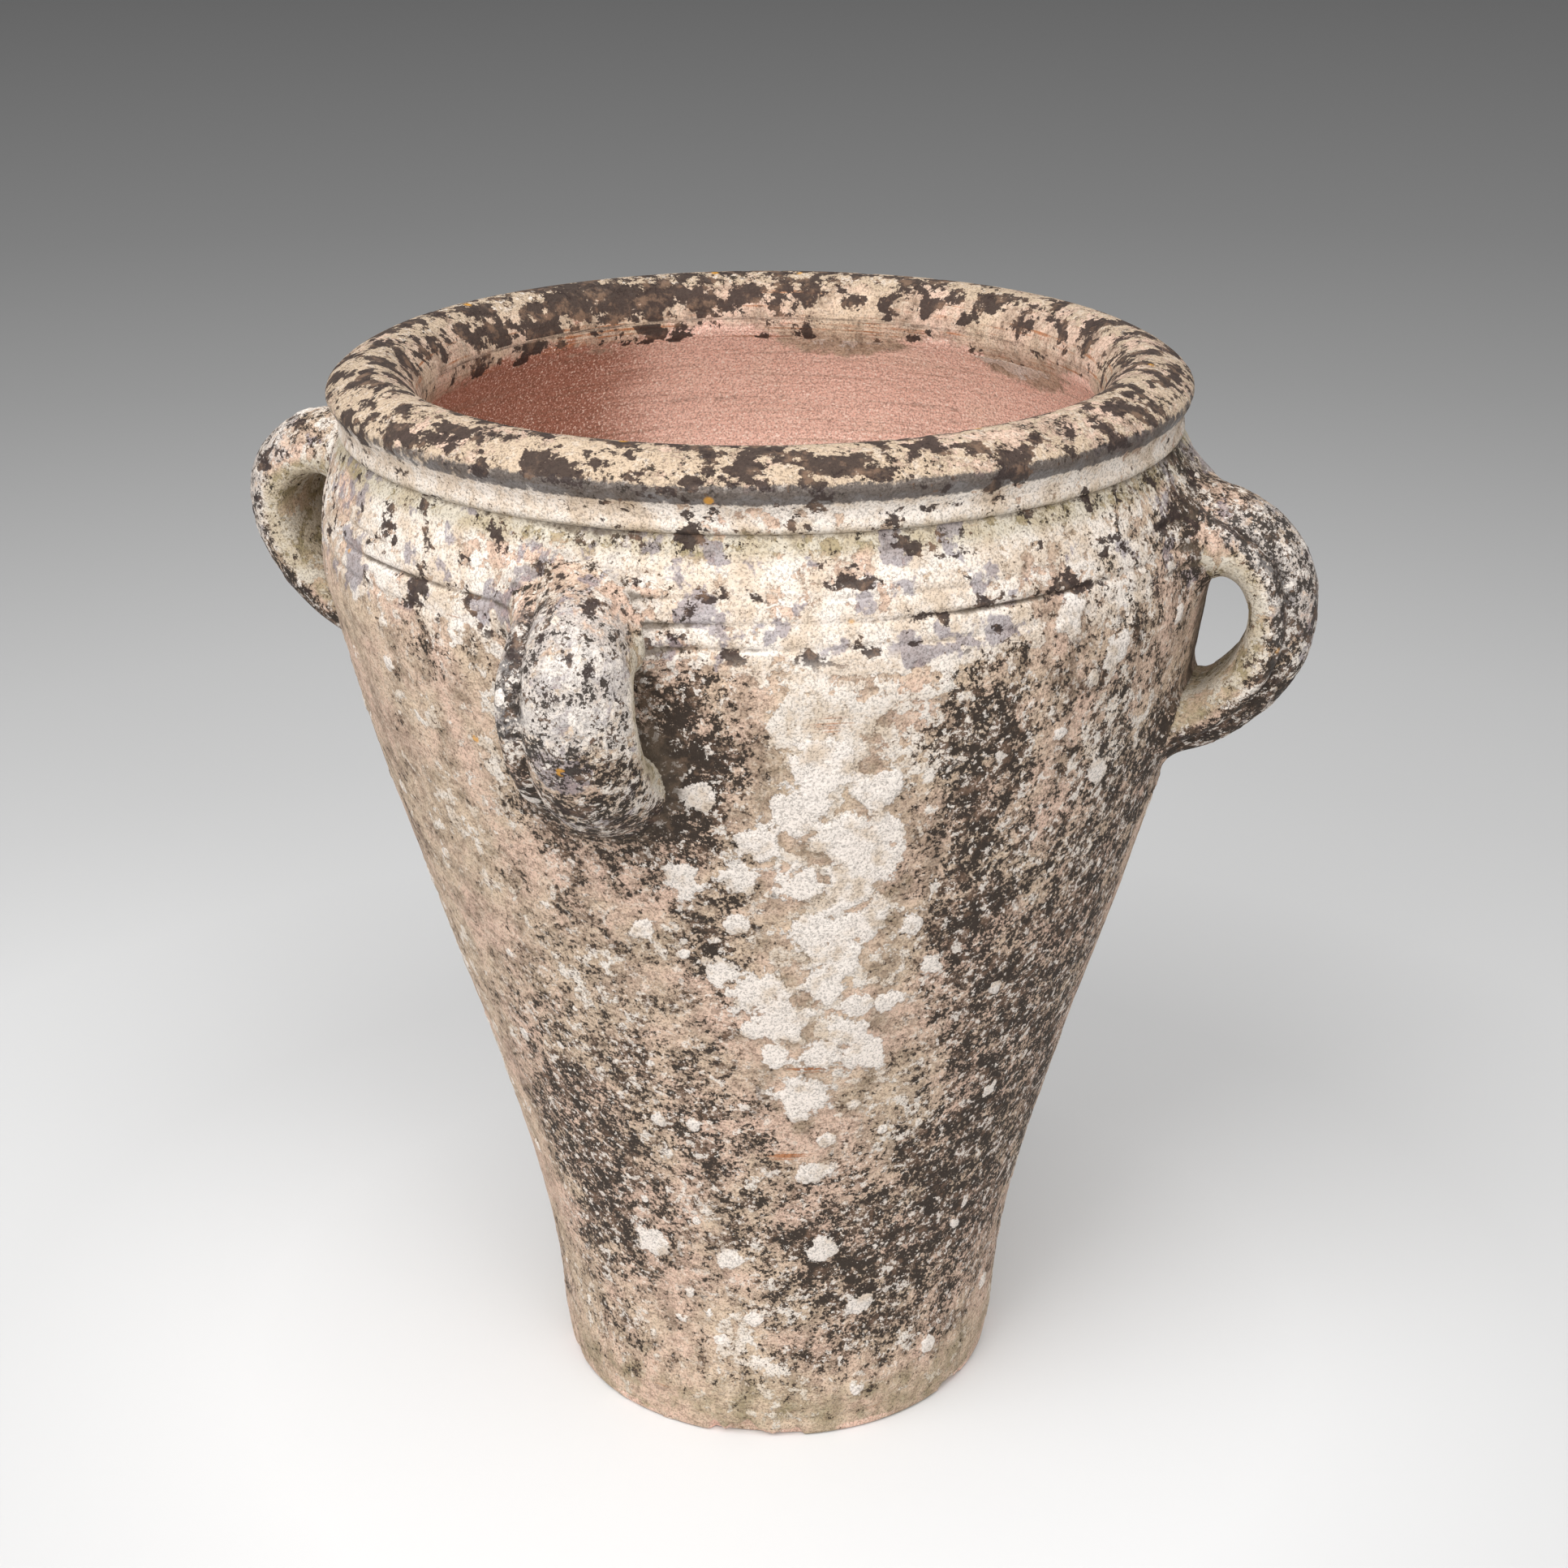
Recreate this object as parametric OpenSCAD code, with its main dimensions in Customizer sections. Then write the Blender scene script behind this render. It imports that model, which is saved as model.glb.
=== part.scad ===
// Terracotta olive jar with a thick rolled rim and four upright strap handles.
// Units are millimetres. +Z is up, the jar stands on Z = 0 and its centre line is the Z axis.
// Handles stand on -Y (front), +X (right), +Y (back) and -X (left).

/* [Body] */
// Height from the floor to the top of the rim roll
jar_height = 580; // [560:5:640]
// Radius of the flat base
foot_radius = 122; // [112:1:134]
// Extra radius gained between the base and the top of the foot
foot_swell = 3.7; // [2:0.1:8]
// Height of the foot
foot_height = 25; // [18:1:40]
// Bevel on the bottom edge of the foot
foot_bevel = 3; // [1:0.5:5]
// Radius at the widest part of the belly
belly_radius = 230; // [218:1:245]
// Depth of the widest part of the belly below the ledge
belly_drop = 69; // [60:1:80]
// Share of a full swelling curve that the wall follows up to the belly
belly_reach = 0.77; // [0.7:0.01:0.9]
// How early the wall starts to swell, lower is earlier
belly_ease = 0.84; // [0.75:0.01:1.1]
// Thickness of the thrown wall
wall_thickness = 20; // [16:0.5:24]
// Thickness of the base slab
floor_thickness = 24; // [20:1:30]

/* [Shoulder and neck] */
// Radius of the ledge under the rim roll
ledge_radius = 212.5; // [206:0.5:216]
// How tightly the shoulder turns in, higher is tighter
shoulder_turn = 2.4; // [1.8:0.1:3]
// Share of the shoulder's height that the neck collar takes
collar_share = 0.25; // [0.18:0.01:0.3]
// Share of the shoulder's height below the lowest incised line
line_start = 0.29; // [0.2:0.01:0.34]
// Share of the shoulder's height from one incised line to the next
line_step = 0.17; // [0.12:0.01:0.18]
// Radius of the tool that cut the incised lines
line_radius = 2; // [1:0.25:3]

/* [Rim roll] */
// Radius of the clay roll
roll_radius = 22.7; // [20:0.1:24]
// How far the roll's centre lies inside the ledge
roll_inset = 16.1; // [13:0.1:19]
// Height of the roll's flat seat below its centre
roll_seat = 12.3; // [9:0.1:15]

/* [Seams] */
// Share of the jar's height below the seam between the lower and middle walls
lower_seam_share = 0.328; // [0.25:0.002:0.4]
// Share of the jar's height below the seam between the middle and shoulder walls
upper_seam_share = 0.604; // [0.5:0.002:0.62]
// Height of the tongue raised on each lower edge
tongue = 6; // [3:0.5:9]

/* [Handles] */
// Share of the shoulder's height below an upper root
root_share = 0.49; // [0.42:0.01:0.52]
// Height from a handle's lower root to its upper root
handle_span = 116; // [104:1:128]
// Distance that a handle stands out from the belly
handle_reach = 53.5; // [46:0.5:66]
// Lift of the strap above its upper root
handle_lift = 18; // [8:1:20]
// Sag of the strap above its lower root
handle_sag = 18; // [8:1:24]
// Thickness of the strap
strap_thickness = 27; // [22:0.5:29]
// Width of the strap
strap_width = 62; // [50:1:72]
// Extra width where the strap meets the jar
strap_flare = 16; // [6:1:22]
// Squareness of the strap's section, 2 is an ellipse
strap_square = 2.6; // [2:0.1:3.5]

/* [Luting pads] */
// Width that a pad shows on each side of an upper root
upper_pad_side = 10; // [6:0.5:14]
// Width that a pad shows on each side of a lower root
lower_pad_side = 6; // [4:0.5:12]
// Height that a pad shows above and below a root
pad_margin = 10; // [7:0.5:12]
// How far a pad stands out from the wall
pad_depth = 9; // [6:0.5:12]

/* [Hidden] */
$fn = 180;
wall_steps = 8;
strap_steps = 20;
strap_points = 24;
ledge_height = jar_height - roll_radius - roll_seat;
belly_height = ledge_height - belly_drop;
collar_seam = ledge_height - belly_drop * collar_share;
lower_seam = jar_height * lower_seam_share;
upper_seam = jar_height * upper_seam_share;
swell = 1 - cos(180 * pow(belly_reach, belly_ease));
throat_half = sqrt(roll_radius * roll_radius - roll_seat * roll_seat);
roll_circle = ledge_radius - roll_inset;
throat_radius = roll_circle - throat_half;
inner_turn = ledge_height - belly_drop * 1.23;
root_width = strap_width + strap_flare;
pad_height = strap_thickness + 4 + 2 * pad_margin;
clay = [0.80, 0.62, 0.49];
dark_clay = [0.72, 0.53, 0.42];
slip = [0.86, 0.76, 0.64];

// Outer radius of the jar at height z, in three stretches: foot, swelling wall, shoulder
function foot_line(z) = foot_radius + foot_swell * z / foot_height;
function wall_share(z) =
    (1 - cos(180 * pow(belly_reach * (z - foot_height) / (belly_height - foot_height), belly_ease)))
    / swell;
function wall_line(z) =
    foot_radius + foot_swell + (belly_radius - foot_radius - foot_swell) * wall_share(z);
function shoulder_line(z) =
    belly_radius - (belly_radius - ledge_radius)
    * pow((z - belly_height) / (ledge_height - belly_height), shoulder_turn);
function outer_radius(z) =
    z < foot_height ? foot_line(z) : z < belly_height ? wall_line(z) : shoulder_line(z);

// Inner radius of the jar at height z: even wall thickness, then a turn in to the throat
function turn_start() = outer_radius(inner_turn) - wall_thickness;
function inner_radius(z) =
    z < inner_turn ? outer_radius(z) - wall_thickness
    : turn_start() - (turn_start() - throat_radius)
      * pow((z - inner_turn) / (ledge_height - inner_turn), 1.8);
function middle_radius(z) = (outer_radius(z) + inner_radius(z)) / 2;

// Points up the outside and down the inside of one ring of wall
function heights(low, high) = [for (i = [0:wall_steps]) low + (high - low) * i / wall_steps];
function outside_up(low, high) = [for (z = heights(low, high)) [outer_radius(z), z]];
function inside_down(low, high) =
    [for (z = heights(low, high)) [inner_radius(low + high - z), low + high - z]];
function tongue_tip(z) = [middle_radius(z), z + tongue];

// One thrown ring: a tongue on its top edge and a groove in its bottom edge
module wall_ring(low, high) {
    rotate_extrude()
        polygon(concat(outside_up(low, high), [tongue_tip(high)],
                       inside_down(low, high), [tongue_tip(low)]));
}

// Solid core with the same outside as the upper rings, taken away from pads and handles
module jar_core() {
    rotate_extrude()
        polygon(concat([[0, lower_seam]], outside_up(lower_seam, upper_seam),
                       outside_up(upper_seam, collar_seam), outside_up(collar_seam, ledge_height),
                       [[0, ledge_height]]));
}

// Flat thrown base with the jar's foot on its edge
module base_slab() {
    color(dark_clay)
        rotate_extrude()
            polygon([[0, 0],
                     [foot_radius - foot_bevel, 0],
                     [foot_line(foot_bevel), foot_bevel],
                     [outer_radius(floor_thickness), floor_thickness],
                     tongue_tip(floor_thickness),
                     [inner_radius(floor_thickness), floor_thickness],
                     [0, floor_thickness]]);
}

// Narrow ring that rises from the base
module lower_wall() {
    color(clay)
        wall_ring(floor_thickness, lower_seam);
}

// Ring that opens out below the handles
module middle_wall() {
    color(dark_clay)
        wall_ring(lower_seam, upper_seam);
}

// Ring with the belly, the shoulder and three incised lines
module shoulder_wall() {
    color(clay)
        difference() {
            wall_ring(upper_seam, collar_seam);
            for (i = [0:2])
                incised_line(belly_height + belly_drop * (line_start + i * line_step));
        }
}

// Groove left by a round-ended tool held against the turning jar
module incised_line(z) {
    rotate_extrude()
        translate([outer_radius(z) + line_radius * 0.25, z])
            circle(r = line_radius, $fn = 24);
}

// Short collar that carries the rim roll
module neck_collar() {
    color(dark_clay)
        wall_ring(collar_seam, ledge_height);
}

// Thick round roll of clay seated on the collar
module rim_roll() {
    seat_in = inner_radius(ledge_height);
    seat_out = outer_radius(ledge_height);
    color(clay)
        difference() {
            rotate_extrude()
                translate([roll_circle, jar_height - roll_radius])
                    circle(r = roll_radius);
            rotate_extrude()
                polygon([[seat_in - 30, ledge_height],
                         [seat_in, ledge_height],
                         tongue_tip(ledge_height),
                         [seat_out, ledge_height],
                         [seat_out + 30, ledge_height],
                         [seat_out + 30, ledge_height - 40],
                         [seat_in - 30, ledge_height - 40]]);
        }
}

// Path of a strap's centre line in its upright plane, as distance from the centre line and height
top_height = belly_height + belly_drop * root_share;
low_height = top_height - handle_span;
top_root = [outer_radius(top_height) - 22, top_height];
low_root = [outer_radius(low_height) - 17, low_height];
reach = belly_radius + handle_reach;
bow = (8 * (reach - strap_thickness / 2) - top_root.x - low_root.x) / 6;
lean = 2;
top_pull = [bow + lean, top_root.y + handle_lift];
low_pull = [bow - lean, low_root.y + handle_sag];
function strap_at(t) =
    pow(1 - t, 3) * top_root + 3 * pow(1 - t, 2) * t * top_pull
    + 3 * (1 - t) * t * t * low_pull + pow(t, 3) * low_root;
function strap_along(t) =
    3 * pow(1 - t, 2) * (top_pull - top_root) + 6 * (1 - t) * t * (low_pull - top_pull)
    + 3 * t * t * (low_root - low_pull);

// Half sizes of the strap's section: it widens and thickens into both roots
function root_share(t) = pow(abs(2 * t - 1), 6);
function half_width(t) = strap_width / 2 + strap_flare / 2 * root_share(t);
function half_thick(t) = strap_thickness / 2 + 2 * root_share(t);
function rounded(v) = sign(v) * pow(abs(v), 2 / strap_square);
function strap_ring(t) =
    let (p = strap_at(t), d = strap_along(t) / norm(strap_along(t)))
    [for (i = [0:strap_points - 1])
        let (a = 360 * i / strap_points,
             side = half_width(t) * rounded(cos(a)),
             out = half_thick(t) * rounded(sin(a)))
        [side, -(p.x - out * d.y), p.y + out * d.x]];

// One strap for the -Y side, before it is cut to the jar
module strap() {
    last = strap_steps * strap_points;
    points = [for (s = [0:strap_steps], p = strap_ring(s / strap_steps)) p];
    sides = [for (s = [0:strap_steps - 1], i = [0:strap_points - 1])
             let (j = (i + 1) % strap_points, low = s * strap_points, high = low + strap_points)
             [low + i, low + j, high + j, high + i]];
    first_cap = [for (i = [strap_points - 1:-1:0]) i];
    last_cap = [for (i = [0:strap_points - 1]) last + i];
    polyhedron(points, concat([first_cap], sides, [last_cap]), convexity = 6);
}

// Rounded lump of soft clay centred on the wall, before it is cut to the jar
module pad_lump(z, wide, high) {
    translate([0, -(outer_radius(z) - 6), z])
        scale([wide / 2, pad_depth + 6, high / 2])
            sphere(r = 1, $fn = 72);
}

module upper_lump() {
    pad_lump(top_root.y + 1, root_width + 2 * upper_pad_side, pad_height);
}

module lower_lump() {
    pad_lump(low_root.y + 4, root_width + 2 * lower_pad_side, pad_height);
}

// Handle, cut to rest against the jar and its two pads, turned to its side of the jar
module handle(turn) {
    color(slip)
        rotate([0, 0, turn])
            difference() {
                strap();
                jar_core();
                upper_lump();
                lower_lump();
            }
}

module upper_pad(turn) {
    color(dark_clay)
        rotate([0, 0, turn])
            difference() {
                upper_lump();
                jar_core();
            }
}

module lower_pad(turn) {
    color(dark_clay)
        rotate([0, 0, turn])
            difference() {
                lower_lump();
                jar_core();
            }
}

module handle_front() { handle(0); }
module handle_right() { handle(90); }
module handle_back() { handle(180); }
module handle_left() { handle(270); }
module upper_pad_front() { upper_pad(0); }
module upper_pad_right() { upper_pad(90); }
module upper_pad_back() { upper_pad(180); }
module upper_pad_left() { upper_pad(270); }
module lower_pad_front() { lower_pad(0); }
module lower_pad_right() { lower_pad(90); }
module lower_pad_back() { lower_pad(180); }
module lower_pad_left() { lower_pad(270); }

base_slab();
lower_wall();
middle_wall();
shoulder_wall();
neck_collar();
rim_roll();
handle_front();
handle_right();
handle_back();
handle_left();
upper_pad_front();
upper_pad_right();
upper_pad_back();
upper_pad_left();
lower_pad_front();
lower_pad_right();
lower_pad_back();
lower_pad_left();
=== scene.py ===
# %% [markdown]
# # A weathered terracotta olive jar
# The jar is thrown in stages on a wheel: a base slab, three rings of wall, a collar and a thick roll of clay for
# the rim. Four pulled straps are luted on with pads of soft clay. Decades outdoors then cover it with lime, lichen
# and dark specks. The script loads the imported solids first, because every piece has to stand where they stand.

# %% Load the solids
import math

import bmesh
import bpy
import numpy as np
from mathutils import Matrix, Vector
from mathutils.bvhtree import BVHTree


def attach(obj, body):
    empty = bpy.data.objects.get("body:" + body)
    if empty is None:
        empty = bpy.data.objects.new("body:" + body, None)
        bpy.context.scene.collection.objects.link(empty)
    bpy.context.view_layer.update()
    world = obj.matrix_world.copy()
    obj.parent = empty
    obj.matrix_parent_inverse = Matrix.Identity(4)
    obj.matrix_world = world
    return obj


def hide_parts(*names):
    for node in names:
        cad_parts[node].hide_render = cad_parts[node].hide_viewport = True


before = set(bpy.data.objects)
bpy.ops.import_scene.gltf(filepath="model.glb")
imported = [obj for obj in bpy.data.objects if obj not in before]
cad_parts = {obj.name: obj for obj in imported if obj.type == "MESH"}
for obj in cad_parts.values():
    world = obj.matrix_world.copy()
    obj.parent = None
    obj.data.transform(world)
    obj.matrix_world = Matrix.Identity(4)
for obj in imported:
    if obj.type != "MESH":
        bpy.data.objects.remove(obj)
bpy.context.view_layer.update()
MM = 0.001

# %% [markdown]
# ## Camera
# A camera at the photograph's angle comes first, so that every later step can be judged in the right view. Its place
# was worked out from the rim, the foot and the incised lines, which are circles on the real jar. The jar's front
# handle faces -Y here, and the camera stands a little to its right.

# %% Camera
QUARTER_TURN = math.radians(90)
VIEW_AZIMUTH = math.radians(17.6)
VIEW_DISTANCE, VIEW_HEIGHT = 1296.1 * MM, 873.3 * MM
PITCH, YAW, ROLL = math.radians(22.388), math.radians(0.243), math.radians(-0.306)


def place_camera():
    """Makes the camera from its distance, height and three small angles."""
    heading = YAW - VIEW_AZIMUTH
    ahead = Vector((math.sin(heading) * math.cos(PITCH), math.cos(heading) * math.cos(PITCH), -math.sin(PITCH)))
    level = Vector((ahead.y, -ahead.x, 0)).normalized()
    upright = level.cross(ahead)
    right = level * math.cos(ROLL) + upright * math.sin(ROLL)
    up = upright * math.cos(ROLL) - level * math.sin(ROLL)
    lens = bpy.data.cameras.new("Camera")
    lens.sensor_width = 36
    lens.lens = 59.03
    lens.clip_start, lens.clip_end = 0.05, 100
    camera = bpy.data.objects.new("Camera", lens)
    bpy.context.scene.collection.objects.link(camera)
    turn = Matrix((right, up, -ahead)).transposed().to_4x4()
    place = Vector((math.sin(VIEW_AZIMUTH), -math.cos(VIEW_AZIMUTH), 0)) * VIEW_DISTANCE
    camera.matrix_world = Matrix.Translation(place + Vector((0, 0, VIEW_HEIGHT))) @ turn
    bpy.context.scene.camera = camera
    return camera


camera = place_camera()
print("camera at", [round(v, 3) for v in camera.matrix_world.translation])

# %% [markdown]
# ## The jar's measured outline
# A thrown jar is a shape that follows a rule: one outline turned about a centre line. The rule is written once, as
# the outer and inner radius at each height, and every ring takes its part of it. The numbers are in millimetres.

# %% Outline
FOOT_RADIUS, FOOT_SWELL, FOOT_HEIGHT = 122.0, 3.7, 25.0
BELLY_RADIUS, BELLY_HEIGHT, BELLY_REACH, BELLY_EASE = 230.0, 476.0, 0.77, 0.84
LEDGE_RADIUS, LEDGE_HEIGHT, SHOULDER_TURN = 212.5, 545.0, 2.4
WALL, FLOOR = 20.0, 24.0
ROLL_CIRCLE, ROLL_RADIUS, ROLL_HEIGHT = 196.4, 22.7, 557.3
THROAT = ROLL_CIRCLE - math.sqrt(ROLL_RADIUS**2 - (ROLL_HEIGHT - LEDGE_HEIGHT) ** 2)
TURN_IN = BELLY_HEIGHT - 16


def outer_radius(z):
    """Outer radius at height z: foot, swelling wall, shoulder."""
    z = np.asarray(z, float)
    full = 1 - math.cos(math.pi * BELLY_REACH**BELLY_EASE)
    way = np.clip((z - FOOT_HEIGHT) / (BELLY_HEIGHT - FOOT_HEIGHT), 0, 1)
    share = (1 - np.cos(math.pi * (BELLY_REACH * way) ** BELLY_EASE)) / full
    foot = FOOT_RADIUS + FOOT_SWELL * np.clip(z / FOOT_HEIGHT, 0, 1)
    wall = foot + (BELLY_RADIUS - FOOT_RADIUS - FOOT_SWELL) * share
    turn = np.clip((z - BELLY_HEIGHT) / (LEDGE_HEIGHT - BELLY_HEIGHT), 0, 1.2) ** SHOULDER_TURN
    return wall - (BELLY_RADIUS - LEDGE_RADIUS) * turn


def inner_radius(z):
    """Inner radius at height z: an even wall, then a turn in to the throat."""
    z = np.asarray(z, float)
    start = float(outer_radius(TURN_IN)) - WALL
    turn = np.clip((z - TURN_IN) / (LEDGE_HEIGHT - TURN_IN), 0, 1.2) ** 1.8
    return np.where(z < TURN_IN, outer_radius(z) - WALL, start - (start - THROAT) * turn)


print("belly", outer_radius(BELLY_HEIGHT).round(1), "ledge", outer_radius(LEDGE_HEIGHT).round(1), "throat", round(THROAT, 1))

# %% [markdown]
# ## One helper for nodes
# Both the shapes and the finishes are made of nodes. One small function adds a node, sets what it needs and links
# it, so that the trees below read like recipes.


# %% Node helper
MATH, VECTOR = "ShaderNodeMath", "ShaderNodeVectorMath"


def add(tree, kind, *values, links=None, **settings):
    """Adds one node and returns its first output. Values fill its inputs in order, links fill them by name, and an
    operation may follow the kind after a colon."""
    kind, _, operation = kind.partition(":")
    node = tree.nodes.new(kind)
    if operation:
        node.operation = operation
    for name, value in settings.items():
        setattr(node, name, value)
    for name, value in [*enumerate(values), *(links or {}).items()]:
        if isinstance(value, bpy.types.NodeSocket):
            tree.links.new(value, node.inputs[name])
        elif value is not None:
            node.inputs[name].default_value = value
    return node.outputs[0] if node.outputs else node


def link_mesh(name, mesh):
    """Puts a mesh in the scene under a plain name."""
    made = bpy.data.objects.new(name, mesh)
    bpy.context.scene.collection.objects.link(made)
    return made


# %% [markdown]
# ## Turning clay on the wheel
# Every ring is the same job: take the outline of a cut through the wall and turn it once around. Geometry Nodes do
# it with one tree. A grid has a column for each step of the wheel and a row for each point of the outline. Each grid
# point looks up its outline point, and swings round the centre line. Two soft noises then add what a potter's hands
# leave: a slow unevenness and the fine level ridges of the fingers.


# %% Wheel tree
SOCKETS = {"geometry": "NodeSocketGeometry", "count": "NodeSocketInt", "size": "NodeSocketFloat",
           "place": "NodeSocketVector", "material": "NodeSocketMaterial"}  # fmt: skip


def new_tree(name, result, **inputs):
    """An empty Geometry Nodes tree with named inputs, and the sockets that give their values."""
    tree = bpy.data.node_groups.new(name, "GeometryNodeTree")
    for label, kind in inputs.items():
        tree.interface.new_socket(name=label.replace("_", " "), in_out="INPUT", socket_type=SOCKETS[kind])
    tree.interface.new_socket(name=result, in_out="OUTPUT", socket_type=SOCKETS["geometry"])
    return tree, add(tree, "NodeGroupInput").node.outputs


def finish_tree(tree, shape, clay):
    """Ends a tree: smooth faces, real geometry, clay material."""
    smooth = add(tree, "GeometryNodeSetShadeSmooth", shape)
    real = add(tree, "GeometryNodeRealizeInstances", smooth)
    fired = add(tree, "GeometryNodeSetMaterial", real, links={"Material": clay})
    add(tree, "NodeGroupOutput", fired)
    return tree


def wheel_tree():
    """A node tree that turns an outline in the XZ plane about Z."""
    tree, given = new_tree(
        "Turn clay on the wheel", "Ring", Outline="geometry", Wheel_steps="count", Unevenness="size",
        Finger_ridges="size", Clay="material",
    )  # fmt: skip
    count = add(tree, "GeometryNodeAttributeDomainSize", given["Outline"], component="MESH")
    columns = add(tree, f"{MATH}:ADD", given["Wheel steps"], 1.0)
    grid = add(tree, "GeometryNodeMeshGrid", links={"Vertices X": columns, "Vertices Y": count})
    index = add(tree, "GeometryNodeInputIndex")
    column = add(tree, f"{MATH}:FLOOR", add(tree, f"{MATH}:DIVIDE", add(tree, f"{MATH}:ADD", index, 0.5), count))
    row = add(tree, f"{MATH}:SUBTRACT", index, add(tree, f"{MATH}:MULTIPLY", column, count))
    place = add(tree, "GeometryNodeInputPosition")
    looked_up = {"Geometry": given["Outline"], "Value": place, "Index": row}
    point = add(tree, "GeometryNodeSampleIndex", data_type="FLOAT_VECTOR", domain="POINT", links=looked_up)
    cut = add(tree, "ShaderNodeSeparateXYZ", point).node.outputs
    angle = add(tree, f"{MATH}:MULTIPLY", add(tree, f"{MATH}:DIVIDE", column, given["Wheel steps"]), 2 * math.pi)
    behind = add(tree, f"{MATH}:MULTIPLY", add(tree, f"{MATH}:COSINE", angle), -1.0)
    away = add(tree, "ShaderNodeCombineXYZ", add(tree, f"{MATH}:SINE", angle), behind)
    turned_out = add(tree, f"{VECTOR}:SCALE", away, links={"Scale": cut[0]})
    on_ring = add(tree, f"{VECTOR}:ADD", turned_out, add(tree, "ShaderNodeCombineXYZ", links={"Z": cut[2]}))
    slow = add(tree, "ShaderNodeTexNoise", links={"Vector": on_ring, "Scale": 7.0, "Detail": 2.0})
    stretched = add(tree, f"{VECTOR}:MULTIPLY", on_ring, (5.0, 5.0, 150.0))
    ridged = add(tree, "ShaderNodeTexNoise", links={"Vector": stretched, "Scale": 1.0, "Detail": 2.0})
    sag = add(tree, f"{MATH}:MULTIPLY", add(tree, f"{MATH}:SUBTRACT", slow, 0.5), given["Unevenness"])
    ridge = add(tree, f"{MATH}:MULTIPLY", add(tree, f"{MATH}:SUBTRACT", ridged, 0.5), given["Finger ridges"])
    near_axis = add(tree, f"{MATH}:MINIMUM", add(tree, f"{MATH}:MULTIPLY", cut[0], 12.0), 1.0)
    push = add(tree, f"{MATH}:MULTIPLY", add(tree, f"{MATH}:ADD", sag, ridge), near_axis)
    final = add(tree, f"{VECTOR}:ADD", on_ring, add(tree, f"{VECTOR}:SCALE", away, links={"Scale": push}))
    shaped = add(tree, "GeometryNodeSetPosition", grid, links={"Position": final})
    closed = add(tree, "GeometryNodeMergeByDistance", shaped, links={"Distance": 0.00002})
    return finish_tree(tree, closed, given["Clay"])


def set_inputs(modifier, values):
    """Sets a tree's named inputs by their identifiers."""
    for item in modifier.node_group.interface.items_tree:
        if item.in_out == "INPUT" and item.name in values:
            modifier[item.identifier] = values[item.name]


def bake_tree(obj, tree, values):
    """Runs a tree on an object and returns the result as a plain mesh."""
    modifier = obj.modifiers.new("made by rule", "NODES")
    modifier.node_group = tree
    set_inputs(modifier, values)
    bpy.context.view_layer.update()
    graph = bpy.context.evaluated_depsgraph_get()
    mesh = bpy.data.meshes.new_from_object(obj.evaluated_get(graph), preserve_all_data_layers=True, depsgraph=graph)
    obj.modifiers.remove(modifier)
    return mesh


def enclosed(mesh):
    """Signed volume, which is positive when the faces point outwards."""
    mesh.calc_loop_triangles()
    corners = np.zeros(len(mesh.loop_triangles) * 3, np.int32)
    mesh.loop_triangles.foreach_get("vertices", corners)
    points = read_points(mesh)[corners].reshape(-1, 3, 3)
    return float(np.einsum("ij,ij->i", points[:, 0], np.cross(points[:, 1], points[:, 2])).sum() / 6)


def read_points(mesh):
    """The mesh's points as an array, in metres."""
    points = np.zeros(len(mesh.vertices) * 3)
    mesh.vertices.foreach_get("co", points)
    return points.reshape(-1, 3)


def write_points(mesh, points):
    """Moves the mesh's points."""
    mesh.vertices.foreach_set("co", np.asarray(points, np.float32).ravel())
    mesh.update()


WHEEL = wheel_tree()
print("wheel tree nodes:", len(WHEEL.nodes))

# %% [markdown]
# ## Clay material, first as an empty name
# The pieces need a material to carry while they are made. Its nodes are filled in later, once the shapes stand.

# %% Material name
terracotta = bpy.data.materials.new("Weathered terracotta")
print("material:", terracotta.name)

# %% [markdown]
# ## Rings of wall
# The outline of each ring goes up the outside, over the tongue at the seam, down the inside and back over the groove.
# The tongues lie inside the wall, so the outside runs on from ring to ring as it does on the fired jar. Rows are a
# few millimetres apart, and closer where the shoulder has its incised lines.

# %% Ring outlines
WHEEL_STEPS = 600
SEAMS = {"base": 0.0, "floor": FLOOR, "low": 190.0, "high": 350.0, "collar": 528.0, "ledge": LEDGE_HEIGHT}
TONGUE = 6.0


def rows(low, high, step):
    """Evenly spaced heights from low to high, no further apart than step."""
    return np.linspace(low, high, max(2, int(math.ceil(abs(high - low) / step)) + 1))


def tongue(z, from_r, to_r):
    """Points over the tongue of a seam, between two radii."""
    way = np.linspace(0, 1, 9)[1:-1]
    return [(from_r + (to_r - from_r) * w, z + TONGUE * (1 - abs(2 * w - 1))) for w in way]


def ring_outline(low, high, outside):
    """The closed cut through one ring of wall; outside holds the heights used on its outer face."""
    inside = rows(high, low, 4.5)
    outline = [(float(outer_radius(z)), float(z)) for z in outside]
    outline += tongue(high, float(outer_radius(high)), float(inner_radius(high)))
    outline += [(float(inner_radius(z)), float(z)) for z in inside]
    outline += tongue(low, float(inner_radius(low)), float(outer_radius(low)))
    return outline + outline[:1]


def slab_outline():
    """The open cut through the base slab, from the middle of its underside to the middle of its top."""
    bevel = [(FOOT_RADIUS - 3.5 + 3.5 * math.sin(a), 3.0 - 3.0 * math.cos(a)) for a in np.linspace(0, QUARTER_TURN, 6)]
    outline = [(float(r), 0.0) for r in rows(0, FOOT_RADIUS - 7, 9)] + bevel
    outline += [(float(outer_radius(z)), float(z)) for z in rows(4.5, FLOOR, 1.6)]
    outline += tongue(FLOOR, float(outer_radius(FLOOR)), float(inner_radius(FLOOR)))
    return outline + [(float(r), FLOOR) for r in rows(float(inner_radius(FLOOR)), 0, 8)]


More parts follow.
